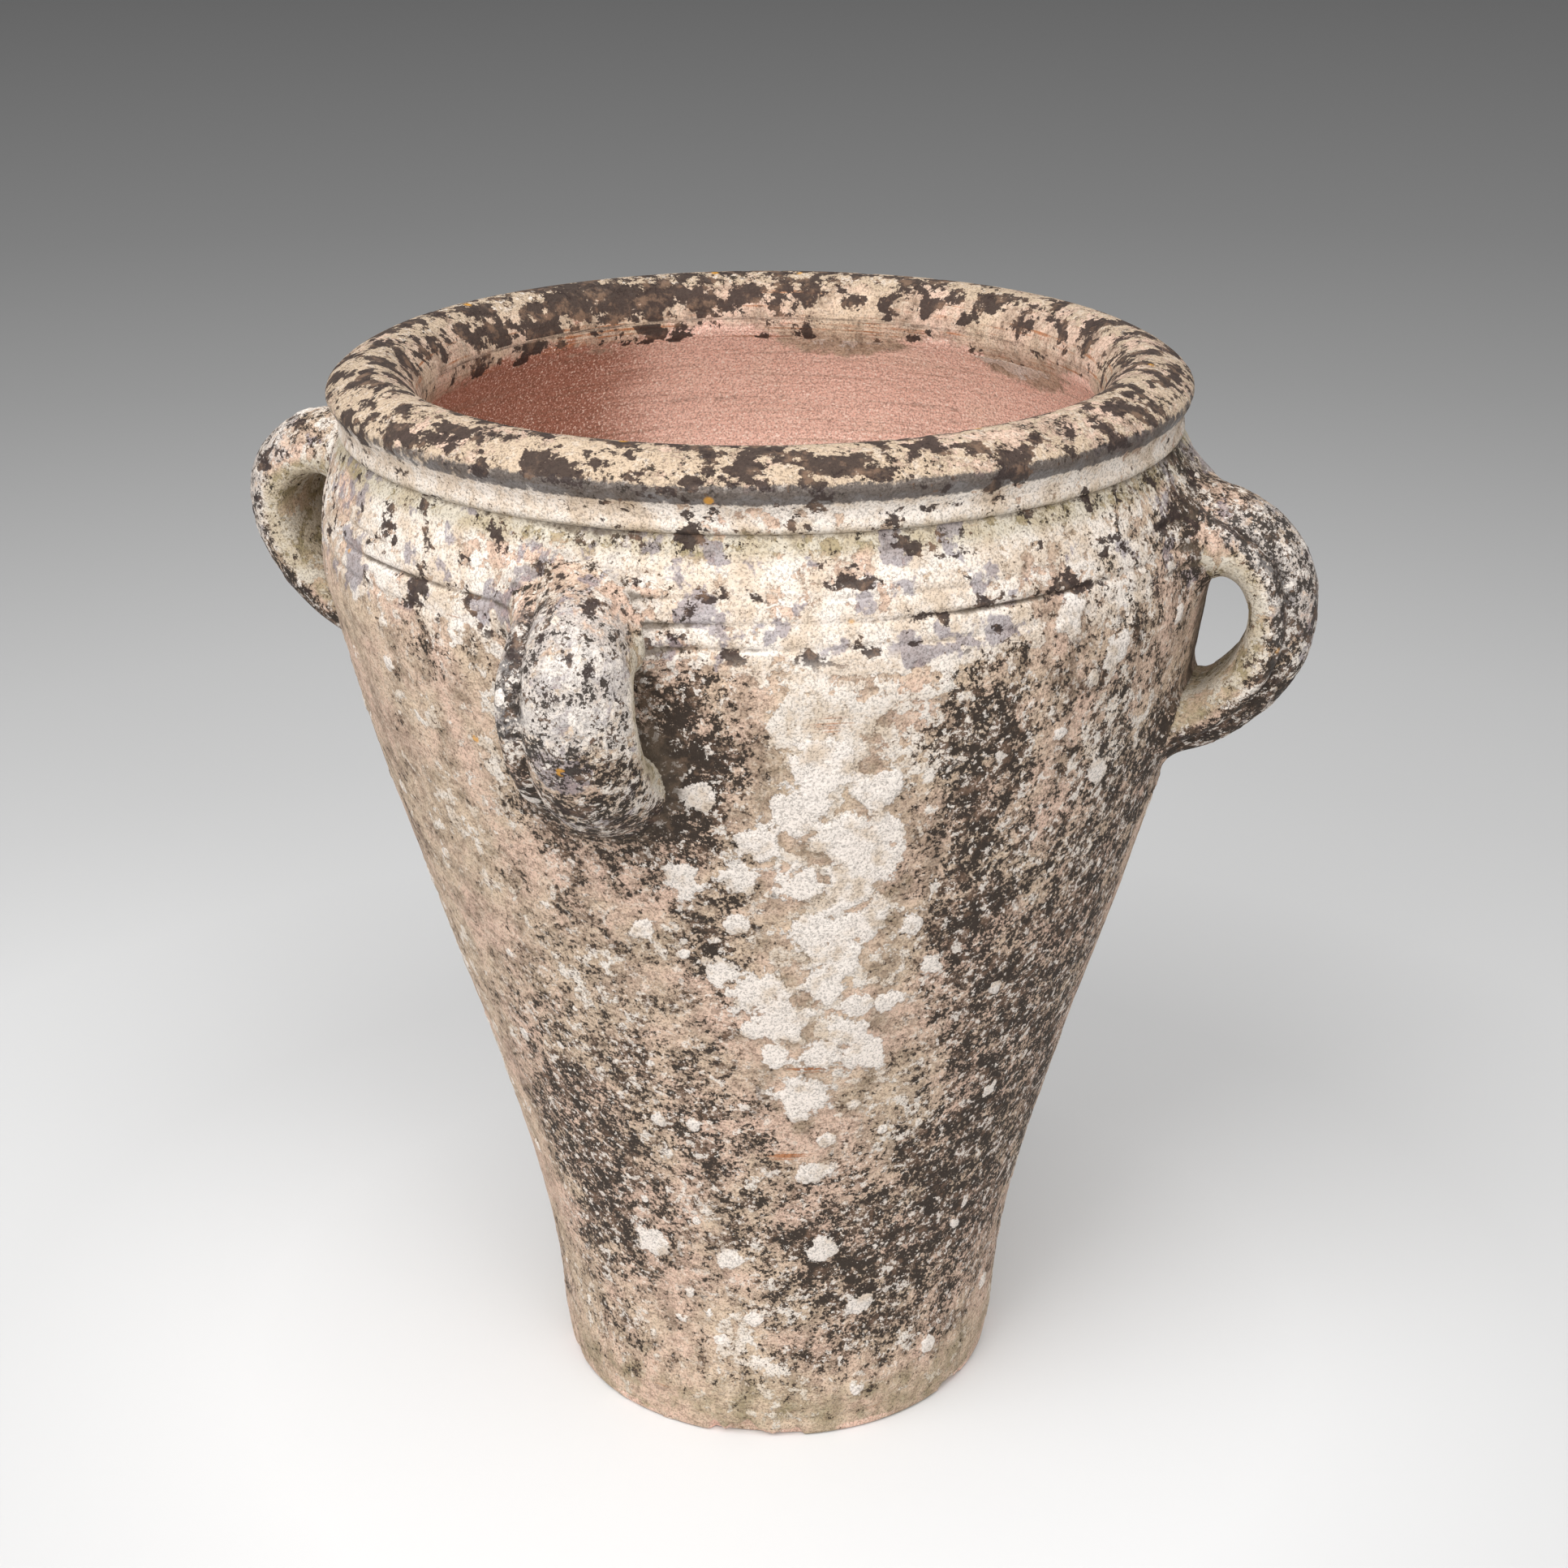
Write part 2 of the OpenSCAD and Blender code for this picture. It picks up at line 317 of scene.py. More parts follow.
# %% [markdown]
# ## The rolled rim
# The rim is a thick roll of clay, thumbed down on the collar. Seen closely it isn't a plain round: under its edge a
# hollow band runs down to a thin lip, the top is flatter towards the outside, and the inside rolls into the throat.
# So its cut is drawn through a few measured points and smoothed through them.


# %% Rim outline
def smooth_through(points, step):
    """A smooth line through points, with a new point every step millimetres."""
    points = np.array(points, float)
    ends = np.vstack([2 * points[0] - points[1], points, 2 * points[-1] - points[-2]])
    line = []
    for a, b, c, d in zip(ends, ends[1:], ends[2:], ends[3:]):
        count = max(2, int(np.linalg.norm(c - b) / step))
        for t in np.arange(count) / count:
            line.append(0.5 * (2 * b + (c - a) * t + (2 * a - 5 * b + 4 * c - d) * t**2 + (3 * b - a - 3 * c + d) * t**3))
    return [tuple(p) for p in line] + [tuple(points[-1])]


RIM_CUT = [
    (LEDGE_RADIUS, LEDGE_HEIGHT), (214.6, 546.6), (214.9, 549.2), (214.3, 552.5), (215.4, 557.5), (217.8, 561.8),
    (219.2, 565.2), (218.4, 568.8), (214.6, 572.4), (208.6, 576.2), (202.0, 579.0), (196.0, 579.9), (189.5, 578.8),
    (183.5, 575.6), (178.4, 570.4), (174.8, 564.0), (173.6, 557.0), (174.6, 550.4), (THROAT, LEDGE_HEIGHT),
]  # fmt: skip


def rim_outline():
    """The closed cut through the rim roll."""
    outline = smooth_through(RIM_CUT, 1.5) + tongue(LEDGE_HEIGHT, THROAT, LEDGE_RADIUS)
    return outline + outline[:1]


# %% Turn the rings
def turn_ring(name, outline):
    """Turns one closed or pole-to-pole outline into a ring of clay."""
    line = bpy.data.meshes.new(name)
    line.from_pydata([(r * MM, 0, z * MM) for r, z in outline], [(i, i + 1) for i in range(len(outline) - 1)], [])
    blank = link_mesh(name, line)
    values = {"Wheel steps": WHEEL_STEPS, "Unevenness": 3.2 * MM, "Finger ridges": 0.9 * MM, "Clay": terracotta}
    mesh = bake_tree(blank, WHEEL, values)
    bpy.data.objects.remove(blank)
    mesh.name = name
    if enclosed(mesh) < 0:
        mesh.flip_normals()
    ring = link_mesh(name, mesh)
    print(name, len(mesh.vertices), "points", round(enclosed(mesh) * 1000, 3), "litres of clay")
    return ring


shoulder_rows = np.concatenate([rows(350, 488, 2.7)[:-1], rows(488, 526, 0.95)[:-1], rows(526, 528, 1.0)])
OUTLINES = {
    "base_slab": slab_outline(),
    "lower_wall": ring_outline(FLOOR, 190, rows(FLOOR, 190, 2.6)),
    "middle_wall": ring_outline(190, 350, rows(190, 350, 2.6)),
    "shoulder_wall": ring_outline(350, 528, shoulder_rows),
    "neck_collar": ring_outline(528, LEDGE_HEIGHT, rows(528, LEDGE_HEIGHT, 1.3)),
    "rim_roll": rim_outline(),
}
rings = {name: turn_ring("jar_" + name, outline) for name, outline in OUTLINES.items()}

# %% [markdown]
# ## Pulled handles
# A handle is a strap pulled from a lump of wet clay, bent over and pressed on at both ends. It is one cut swept along
# a curve, so Geometry Nodes sweep it: a Bezier segment gives the bow, its radius grows near both roots, and a
# noise gives the slight lumps of the hand. The cut is a rounded oblong with a shallow groove left by a finger.


# %% Strap tree
def strap_tree():
    """A node tree that sweeps a closed cut along a bow."""
    tree, given = new_tree(
        "Pull a strap", "Strap", Cut="geometry", Upper_root="place", Upper_pull="place", Lower_pull="place",
        Lower_root="place", Root_flare="size", Waist="size", Lumps="size", Hand="size", Clay="material",
    )  # fmt: skip
    ends = {"Start": "Upper root", "Start Handle": "Upper pull", "End Handle": "Lower pull", "End": "Lower root"}
    pulls = {"Resolution": 150} | {end: given[label] for end, label in ends.items()}
    bow = add(tree, "GeometryNodeCurvePrimitiveBezierSegment", mode="POSITION", links=pulls)
    even = add(tree, "GeometryNodeResampleCurve", bow, links={"Count": 110})
    way = add(tree, "GeometryNodeSplineParameter")
    from_middle = add(tree, f"{MATH}:ABSOLUTE", add(tree, f"{MATH}:MULTIPLY_ADD", way, 2.0, -1.0))
    share = add(tree, f"{MATH}:POWER", from_middle, 5.0)
    radius = add(tree, f"{MATH}:MULTIPLY_ADD", share, given["Root flare"], 1.0)
    sized = add(tree, "GeometryNodeSetCurveRadius", even, links={"Radius": radius})
    sized = add(tree, "GeometryNodeStoreNamedAttribute", sized, links={"Name": "way", "Value": way})
    loop = add(tree, "GeometryNodeMeshToCurve", given["Cut"])
    marked = {"Name": "cut place", "Value": add(tree, "GeometryNodeInputPosition")}
    loop = add(tree, "GeometryNodeStoreNamedAttribute", loop, data_type="FLOAT_VECTOR", links=marked)
    swept = add(tree, "GeometryNodeCurveToMesh", sized, links={"Profile Curve": loop, "Fill Caps": True})
    seed = {"Vector": add(tree, "GeometryNodeInputPosition"), "W": given["Hand"], "Scale": 26.0, "Detail": 2.0}
    lumpy = add(tree, "ShaderNodeTexNoise", noise_dimensions="4D", links=seed)
    amount = add(tree, f"{MATH}:MULTIPLY", add(tree, f"{MATH}:SUBTRACT", lumpy, 0.5), given["Lumps"])
    offset = add(tree, f"{VECTOR}:SCALE", add(tree, "GeometryNodeInputNormal"), links={"Scale": amount})
    moved = add(tree, "GeometryNodeSetPosition", swept, links={"Offset": offset})
    down = add(tree, "GeometryNodeInputNamedAttribute", data_type="FLOAT", links={"Name": "way"})
    waist = add(tree, "ShaderNodeMapRange", down, 0.08, 0.5, 0.0, 1.0, interpolation_type="SMOOTHSTEP")
    width = add(tree, f"{MATH}:ADD", add(tree, f"{MATH}:MULTIPLY", waist, given["Waist"]), add(tree, f"{MATH}:SUBTRACT", 1.0, given["Waist"]))
    narrow = add(tree, "ShaderNodeCombineXYZ", width, 1.0, 1.0)
    slim = add(tree, f"{VECTOR}:MULTIPLY", add(tree, "GeometryNodeInputPosition"), narrow)
    pulled = add(tree, "GeometryNodeSetPosition", moved, links={"Position": slim})
    return finish_tree(tree, pulled, given["Clay"])


# Points round the strap's cut in mm: x is across the strap and y is outwards from the jar. A thin edge, a groove
# pressed by a fingertip, and a thick round back.
STRAP_CUT = [
    (0, -16), (-20, -15.6), (-29, -12.5), (-31.5, -6), (-30.5, -0.5), (-26, 2.6), (-21.5, 3.1), (-18.8, 3.2), (-16.4, 7.0),
    (-11, 11.6), (-3, 14.8), (6, 15.3), (15, 13), (23, 8), (28.8, 1), (30.6, -6), (28.5, -12.5), (20, -15.6), (0, -16),
]  # fmt: skip
STRAP = strap_tree()
BOW = {"Upper root": (203.0, 509.7), "Upper pull": (293.9, 528), "Lower pull": (288.8, 411.8), "Lower root": (199.5, 394.4)}
# Each handle's turn and twist in degrees, reach, lift of its top and bottom in mm, and how much its top narrows.
HAND_MADE = {
    "front": (-5, 12, 0, 0, 15, 0.2), "right": (0, 0, 0, 0, 0, 0.0), "back": (3, -4, -3, -4, -2, 0.1), "left": (0, -3, 14, 5, 17, 0.0),
}  # fmt: skip


def pull_strap(name, quarter, turn, twist, reach, top, bottom, waist):
    """Pulls one strap for the front, then turns it to its side of the jar."""
    cut = bpy.data.meshes.new(name)
    points = [(-x * MM, -y * MM, 0) for x, y in smooth_through(STRAP_CUT, 1.6)[:-1]]
    cut.from_pydata(points, [(i, (i + 1) % len(points)) for i in range(len(points))], [])
    blank = link_mesh(name, cut)
    values = {key: (0, -(r + reach) * MM, (z + (top if "Upper" in key else bottom)) * MM) for key, (r, z) in BOW.items()}
    values |= {"Root flare": 0.1, "Waist": waist, "Lumps": 2.4 * MM, "Hand": 3.1 + 2.7 * quarter, "Clay": terracotta}
    mesh = bake_tree(blank, STRAP, values)
    bpy.data.objects.remove(blank)
    mesh.name = name
    spread = read_points(mesh)
    print(name, len(mesh.vertices), "points, width", round(float(np.ptp(spread[:, 0])) / MM), "mm, reach",
          round(float(-spread[:, 1].min()) / MM), "mm")  # fmt: skip
    if enclosed(mesh) < 0:
        mesh.flip_normals()
    root = Matrix.Translation((0, -BOW["Upper root"][0] * MM, 0))
    mesh.transform(root @ Matrix.Rotation(math.radians(twist), 4, "Z") @ root.inverted())
    mesh.transform(Matrix.Rotation(quarter * QUARTER_TURN + math.radians(turn), 4, "Z"))
    return link_mesh(name, mesh)


SIDES = {"front": 0, "right": 1, "back": 2, "left": 3}
handles = {side: pull_strap("handle_" + side, q, *HAND_MADE[side]) for side, q in SIDES.items()}

# %% [markdown]
# ## Luting the handles on
# A wet strap is pressed on and its edge is wiped out into the wall, so strap and wall meet in a soft hollow curve and
# never in a hard corner. Both meshes are moved on to one shared surface for this: the wall rises towards the strap
# and the strap spreads towards the wall, by the rule of a rounded join. Where they cross they have the same slope.

# %% Rounded joins
LARGEST = 30.0
ROOT_DEPTH = 12.0


def about(points):
    """Azimuth in degrees from the front, height and distance from the centre line in millimetres."""
    x, y, z = np.asarray(points).T / MM
    return np.degrees(np.arctan2(x, -y)), z, np.hypot(x, y)


def turned(azimuth, towards):
    """Azimuth measured from another one, between -180 and 180."""
    return (azimuth - towards + 180) % 360 - 180


def step(x, low, high):
    """A soft step from 0 at low to 1 at high."""
    t = np.clip((x - low) / (high - low), 0, 1)
    return t * t * (3 - 2 * t)


def join_size(points):
    """Width of the hollow curve at each point: wide beside the upper root, narrow above and below the roots."""
    azimuth, z, rho = about(points)
    beside = np.abs(np.radians((azimuth + 45) % 90 - 45) * rho)
    upper = step(z, 425, 465)
    wide = np.maximum(step(beside, 8, 30), step(z, 512, 492))
    return 10 + upper * (5 + (LARGEST - 15) * wide) + (1 - upper) * 8 * step(beside, 16, 34)


def rounded_join(a, b, size):
    """The smaller of two distances, with the corner between them rounded."""
    near = np.clip(1 - np.abs(a - b) / size, 0, 1)
    return np.minimum(a, b) - size / 4 * near * near


def point_normals(mesh):
    """Outward direction at each point."""
    normals = np.zeros(len(mesh.vertices) * 3, np.float32)
    mesh.vertex_normals.foreach_get("vector", normals)
    return normals.reshape(-1, 3).astype(float)


def above_wall(points):
    """Distance from the jar's outer surface, in millimetres."""
    _, z, rho = about(points)
    slope = (outer_radius(z + 1) - outer_radius(z - 1)) / 2
    return (rho - outer_radius(z)) / np.sqrt(1 + slope**2)


def tree_of(mesh):
    """A search tree over a mesh's faces."""
    points = [Vector(p) for p in read_points(mesh)]
    return BVHTree.FromPolygons(points, [tuple(f.vertices) for f in mesh.polygons])


def gap_to(tree, point):
    """Distance from a closed surface in millimetres, negative inside it."""
    place, normal, _, far = tree.find_nearest(Vector(point))
    return (far if (Vector(point) - place).dot(normal) > 0 else -far) / MM


STRAP_TREES = {side: tree_of(piece.data) for side, piece in handles.items()}


def raise_wall(mesh):
    """Lifts the wall towards each strap's roots, and returns how near each point is to a root."""
    points, normals = read_points(mesh), point_normals(mesh)
    azimuth, z, rho = about(points)
    outside = rho > (outer_radius(z) + inner_radius(z)) / 2
    nearness, size = np.zeros(len(points)), join_size(points)
    for side, quarter in SIDES.items():
        band = outside & (np.abs(turned(azimuth, 90 * quarter)) < 25) & (z > 345) & (z < 545.5)
        for i in np.flatnonzero(band):
            gap = gap_to(STRAP_TREES[side], points[i])
            nearness[i] = max(nearness[i], math.exp(-((max(gap, 0) / 22) ** 2)))
            if gap > size[i]:
                continue
            low, high = 0.0, size[i] / 4
            for _ in range(7):
                lift = (low + high) / 2
                lifted = gap_to(STRAP_TREES[side], points[i] + normals[i] * lift * MM)
                low, high = (lift, high) if rounded_join(lift, lifted, size[i]) < 0 else (low, lift)
            points[i] += normals[i] * low * MM * float(step(545.5 - z[i], 0, 7))
    write_points(mesh, points)
    return nearness


def spread_root(mesh):
    """Spreads a strap towards the wall by the same rule, and trims its ends inside the wall's clay."""
    points, normals = read_points(mesh), point_normals(mesh)
    wall, size = above_wall(points), join_size(points)
    low, high = np.zeros(len(points)), size / 4
    for _ in range(9):
        grow = (low + high) / 2
        short = rounded_join(above_wall(points + normals * grow[:, None] * MM), grow, size) < 0
        low, high = np.where(short, grow, low), np.where(short, high, grow)
    grow = low * step(wall, -9, -3) * (wall < size)
    points += normals * grow[:, None] * MM
    _, z, rho = about(points)
    points[:, :2] *= (np.maximum(rho, outer_radius(z) - ROOT_DEPTH) / rho)[:, None]
    write_points(mesh, points)


near_root = {name: raise_wall(rings[name].data) for name in ("shoulder_wall", "neck_collar")}
for piece in handles.values():
    spread_root(piece.data)
print("joins lifted by up to", LARGEST / 4, "mm")

# %% [markdown]
# ## Incised lines, chips and a slight lean
# While the jar still turned, a pointed stick cut three lines round the shoulder and a cloth left two finer ones at the
# foot. They waver a little, and they fade where the stick was lifted. The foot has lost flakes to years of being
# moved. Last, the jar sags a few millimetres to one side, as hand-thrown clay does, and its handles go with it.

# %% Lines, chips, lean
LINES = ((496.2, 1.5, 1.5, 0.6), (507.4, 2.3, 1.5, 2.1), (519.6, 1.2, 1.3, 4.0), (486.0, 0.5, 1.2, 5.0), (12.0, 0.7, 1.3, 1.0), (18.5, 0.6, 1.2, 3.0))
CHIPS = ((8, 1, 8.5, 9, 4.2), (19, 0, 6.5, 6, 2.6), (-52, 1, 4, 5, 2.2), (71, 0, 5, 6, 2.6), (133, 1, 8, 8, 3.5), (-128, 0, 5, 6, 2.4))


def line_depth(azimuth, z):
    """Depth of the incised lines at a place on the wall, in millimetres."""
    depth = np.zeros_like(z)
    for height, deep, half, phase in LINES:
        a = np.radians(azimuth)
        waver = 0.8 * np.sin(a + phase) + 0.35 * np.sin(5 * a + 2 * phase)
        fade = 0.62 + 0.38 * np.sin(2 * a + 3 * phase) * np.sin(7 * a + phase)
        depth += deep * fade * np.exp(-(((z - height - waver) / half) ** 2))
    return depth


def chip_depth(azimuth, z):
    """Depth of the flakes lost from the foot's edge, in millimetres."""
    depth = np.zeros_like(z)
    for towards, height, wide, high, deep in CHIPS:
        ragged = 1 + 0.25 * np.sin(np.radians(azimuth) * 37 + towards) + 0.15 * np.sin(np.radians(azimuth) * 83)
        reach = np.hypot(turned(azimuth, towards) / (wide * ragged), (z - height) / (high * ragged))
        depth = np.maximum(depth, deep * step(1.0 - reach, 0.0, 0.35))
    return depth


def cut_lines(mesh):
    """Presses lines and chips into the outer face."""
    points = read_points(mesh)
    azimuth, z, rho = about(points)
    outside = rho > (outer_radius(z) + inner_radius(z)) / 2 - 6 * (z < 4)
    inwards = np.where(outside, line_depth(azimuth, z) + chip_depth(azimuth, z) * step(rho, 100, 118), 0)
    points[:, :2] *= ((rho - inwards) / np.maximum(rho, 1))[:, None]
    write_points(mesh, points)


def lean(mesh):
    """Shifts each height sideways by the wander of the real jar's centre line."""
    points = read_points(mesh)
    aside = np.interp(points[:, 2] / MM, [0, 300, 440, 545, 580], [0, 2, 0, -4.5, -5.5]) * MM
    points[:, 0] += aside * math.cos(VIEW_AZIMUTH)
    points[:, 1] += aside * math.sin(VIEW_AZIMUTH)
    write_points(mesh, points)


for name in ("base_slab", "lower_wall", "shoulder_wall"):
    cut_lines(rings[name].data)
print("lines", len(LINES), "chips", len(CHIPS))

# %% [markdown]
# ## What grows where
# Lichen isn't even. On this jar the shoulder wears a cream crust, a pale band of round colonies runs down the front,
# and dark specks crowd beside it where rain drips from handle and rim. Such slow changes are stored on the mesh as
# named amounts. The materials then turn each amount into sharp-edged patches with noises of the right grain. Some
# amounts also carry painted light: shade beside the front handle, on the right side, in grooves and round the handle
# roots, a painted shadow inside the mouth on the left, and painted sheen and glare on rubbed edges.

# %% Amounts on the surface
ROSETTES = (
    (8.6, 424, 9), (15.2, 398, 11), (13, 379, 10), (5.6, 375, 11), (9.1, 323, 10), (14.6, 309, 15), (21.5, 240, 15),
    (-11, 128, 11), (-1, 344, 7), (26.6, 132, 9), (7.5, 124, 8), (37, 90, 8), (55, 496, 10), (29, 299, 9),
    (36, 345, 8), (24, 188, 9), (20, 416, 16), (23, 440, 15), (30, 425, 13), (31, 386, 15), (27, 372, 14),
    (22.5, 346, 14), (18, 291, 15), (31, 267, 12), (26, 330, 12), (24, 270, 11), (31, 402, 12), (17, 270, 9),
    (40, 320, 7), (62.6, 473, 10), (63, 408, 8), (12, 352, 7), (34, 300, 8), (26, 400, 16), (24, 315, 12),
    (29, 350, 12), (20, 375, 11), (28, 283, 10), (-118, 300, 13), (-110, 270, 9), (-124, 350, 15), (-131, 390, 12),
    (-115, 240, 11), (148, 410, 14), (155, 360, 12), (142, 330, 15), (150, 290, 10), (139, 250, 12), (-160, 200, 11),
)  # fmt: skip
RNG = np.random.default_rng(11)
WAVES = [(int(RNG.integers(1, 10)), RNG.uniform(-0.02, 0.02), RNG.uniform(0, 2 * math.pi)) for _ in range(14)]


def drift(azimuth, z, shift):
    """A slow seamless variation round the jar, about -1 to 1."""
    a = np.radians(azimuth)
    return sum(np.cos(k * a + m * z + p + shift * (i + 1)) for i, (k, m, p) in enumerate(WAVES)) / 3.2


def lobe(azimuth, z, towards, height, wide, high):
    """A soft spot on the wall: 1 at its middle, fading over wide degrees and high millimetres."""
    return np.exp(-((turned(azimuth, towards) / wide) ** 2) - ((z - height) / high) ** 2)


def total(azimuth, z, spots):
    """The sum of soft spots, each given as azimuth, height, width, height of the spot and strength."""
    return sum(strength * lobe(azimuth, z, *place) for *place, strength in spots)


# Most lobes place crust and specks, but some also paint shade: the cream lobe at 78 degrees and the dark lobes at 72
# and 76 degrees darken the right side, which turns away from the key light, and the dark lobe at 8 degrees and 445 mm
# paints the front handle's shadow over real specks.
CREAM = (
    (26, 400, 8, 80, 0.10), (24, 290, 8, 60, 0.08), (27, 465, 11, 22, 0.09), (64, 430, 8, 75, 0.09),
    (-22, 430, 9, 50, 0.06), (-14, 300, 8, 60, 0.02), (12, 60, 40, 26, 0.03), (78, 515, 22, 40, -0.08), (-62, 505, 18, 35, -0.05),
)  # fmt: skip
DARK = (
    (8, 445, 7, 46, 0.12), (9, 345, 6, 55, 0.08), (-10, 330, 10, 90, 0.04), (0, 40, 60, 30, 0.03), (43, 445, 8, 45, 0.115), (44, 350, 9, 70, 0.09), (56, 270, 12, 80, 0.085), (76, 240, 14, 170, 0.08),
    (50, 130, 26, 90, 0.12), (22, 120, 16, 60, 0.055), (-27, 190, 14, 130, 0.105), (-46, 250, 18, 140, 0.045), (72, 510, 22, 30, 0.06), (-60, 500, 18, 40, 0.05), (-1, 235, 12, 60, 0.06), (-12, 150, 14, 60, 0.05), (10, 200, 8, 50, 0.05),
    (-24, 480, 8, 14, 0.05), (80, 380, 8, 60, 0.05), (63, 400, 10, 90, 0.065), (26, 400, 7, 80, -0.05), (24, 290, 7, 60, -0.04), (-35, 300, 14, 120, -0.05),
)  # fmt: skip
RUST = ((18, 201, 6, 5, 0.9), (22, 259, 5, 4, 0.8), (24.6, 462, 3, 9, 0.5), (5.9, 190, 4, 4, 0.6), (140, 300, 5, 8, 0.8), (-96, 250, 4, 7, 0.7))


def wall_amounts(azimuth, z, rho):
    """Every amount for a point of the jar's rings."""
    back_left = lobe(azimuth, z, -128, 560, 45, 200)
    # A painted shadow on the wall in the hollow behind each strap.
    painted_shadow_behind_strap = lobe((azimuth + 45) % 90 - 45, z, 0, 452, 7, 34)
    outside = rho > (outer_radius(z) + inner_radius(z)) / 2
    inside = 1.0 - step(rho - (outer_radius(z) + inner_radius(z)) / 2, -2, 2)
    around = np.degrees(np.arctan2(z - ROLL_HEIGHT, rho - ROLL_CIRCLE))
    on_roll = step(z, 544.5, 546.5)
    front = np.exp(-((turned(azimuth, 20) / 68) ** 6))
    shoulder = step(z, 476, 498)
    foot = 1 - step(z, 18, 62)
    rosettes = np.full_like(z, -1.0)
    for towards, height, radius in ROSETTES:
        flat = np.hypot(np.radians(turned(azimuth, towards)) * np.maximum(rho, 50), z - height)
        rosettes = np.maximum(rosettes, 1 - flat / radius)
    cream = -0.075 + 0.135 * shoulder + total(azimuth, z, CREAM) + 0.045 * drift(azimuth, z, 0.0) * (1 - 0.7 * front)
    dark = -0.031 + total(azimuth, z, DARK) + 0.06 * drift(azimuth, z, 1.0) * (1 - front) - 0.03 * shoulder - 0.03 * foot + 0.04 * np.exp(-(((z - 541) / 5) ** 2)) * outside
    top = step(around, 8, 30) * (1 - step(around, 150, 178))
    throat = on_roll * np.maximum(step(around, 115, 150), around < -60)
    cream = np.where(on_roll > 0.5, 0.08 - 0.03 * top - 0.16 * throat, cream)
    dark = np.where(on_roll > 0.5, -0.04 + 0.035 * top + 0.03 * back_left, dark)
    pink = inside * (1 - step(z + 9 * drift(azimuth, z, 5.0), 532, 554)) + 0.28 * throat
    edge = (1 - step(z, 3, 9)) * (0.5 + 0.5 * np.sin(np.radians(azimuth) * 11)) + step(chip_depth(azimuth, z), 0.3, 1.5)
    return {
        "cream": cream - 0.4 * pink,
        "dark": dark - 0.3 * pink,
        "rosettes": np.where(outside, rosettes, -1.0),
        "colonies": np.clip(0.16 + 0.22 * lobe(azimuth, z, 25, 330, 14, 150) + 0.06 * drift(azimuth, z, 2.0), 0, 1) * (1 - pink) * (1 - shoulder),
        "rust": total(azimuth, z, RUST) + 0.3 * throat,
        "algae": np.clip(0.95 * np.exp(-(((z - 541) / 6.5) ** 2)) * outside + 0.33 * foot + 0.2 * front * (1 - shoulder), 0, 1),
        # This amount darkens the incised lines and the groove under the roll, and paints shadow on the wall behind each
        # strap.
        "grime": np.clip(line_depth(azimuth, z) * 0.36 * (z > 480) + 0.42 * np.exp(-(((z - 544) / 2.0) ** 2)) * outside + 0.4 * painted_shadow_behind_strap * outside, 0, 1),
        "pink": np.clip(pink + edge * (1 - step(z, 8, 14)), 0, 1),
        "blotch": on_roll * (0.25 + 0.75 * top) * (1 + 0.45 * back_left) + 0.5 * throat * back_left + 0.22 * shoulder * (1 - on_roll) * outside,
        # Painted sheen: a narrow band along the roll's outer edge, strongest at the front; the same amount also makes
        # the edge smoother.
        "polish": on_roll * np.exp(-(((around - 17) / 12) ** 4)) * (0.5 + 0.5 * np.exp(-((turned(azimuth, 30) / 60) ** 4))),
        "violet": shoulder * (1 - on_roll) * outside * (0.4 + 0.6 * (drift(azimuth, z * 0.4, 3.0) > 0)),
        # Painted shadow: the inside on the jar's left is darkened where the rim's shadow falls.
        "wet": inside * (1 - step(np.abs(turned(azimuth, -92)), 30, 62)),
    }


def read_named(mesh, name, width=1):
    """A named amount or place of each point."""
    values = np.zeros(len(mesh.vertices) * width, np.float32)
    mesh.attributes[name].data.foreach_get("vector" if width == 3 else "value", values)
    return values.astype(float) if width == 1 else values.reshape(-1, width).astype(float)


def strap_amounts(mesh, quarter):
    """Every amount for a point of a strap."""
    dirt = (0.01, 0.035, 0.03, 0.02)[quarter]
    way = read_named(mesh, "way")
    across, outwards, _ = read_named(mesh, "cut place", 3).T / -MM
    outer_face = step(outwards, -9, 1)
    lower = step(way, 0.3, 0.8)
    near_wall = np.exp(-((np.maximum(above_wall(read_points(mesh)), 0) / 9) ** 2))
    thin_edge = np.exp(-(((across + 23) / 5.5) ** 2)) * outer_face
    return {
        "cream": (0.02 - dirt) * outer_face * (1 - lower) + 0.04 * (1 - outer_face) - 0.02 * lower,
        "dark": (dirt - 0.05) * (1 - outer_face) + outer_face * (dirt + 0.06 * lower) + 0.04 * thin_edge,
        "rosettes": np.full(len(way), -1.0),
        "colonies": 0.10 * outer_face,
        "rust": np.zeros(len(way)),
        "algae": 0.7 * (1 - outer_face) + 0.1,
        # Painted shade on the strap where it comes near the wall.
        "grime": 0.4 * near_wall,
        "pink": np.zeros(len(way)),
        "blotch": 0.25 * outer_face,
        # Painted glare on the upper middle of each strap's outer face and painted sheen along its thin edge, most on
        # the right handle; violet here also places the glare. Both also make the surface smoother.
        "polish": np.clip(0.75 * np.exp(-(((way - 0.36) / 0.2) ** 4)) * outer_face + (0.7 if quarter == 1 else 0.2) * thin_edge, 0, 1),
        "violet": 0.7 * outer_face * (1 - 0.8 * thin_edge),
        "wet": np.zeros(len(way)),
    }


def store(mesh, amounts):
    """Writes named amounts on a mesh's points."""
    for name, values in amounts.items():
        mesh.attributes.new(name, "FLOAT", "POINT").data.foreach_set("value", np.asarray(values, np.float32))


def store_run(mesh, along, round_x, round_y):
    """Writes the direction in which streaks run: round the form in X and Y, along it in Z, in metres."""
    run = np.column_stack([round_x, round_y, along]).astype(np.float32) * MM
    mesh.attributes.new("run", "FLOAT_VECTOR", "POINT").data.foreach_set("vector", run.ravel())


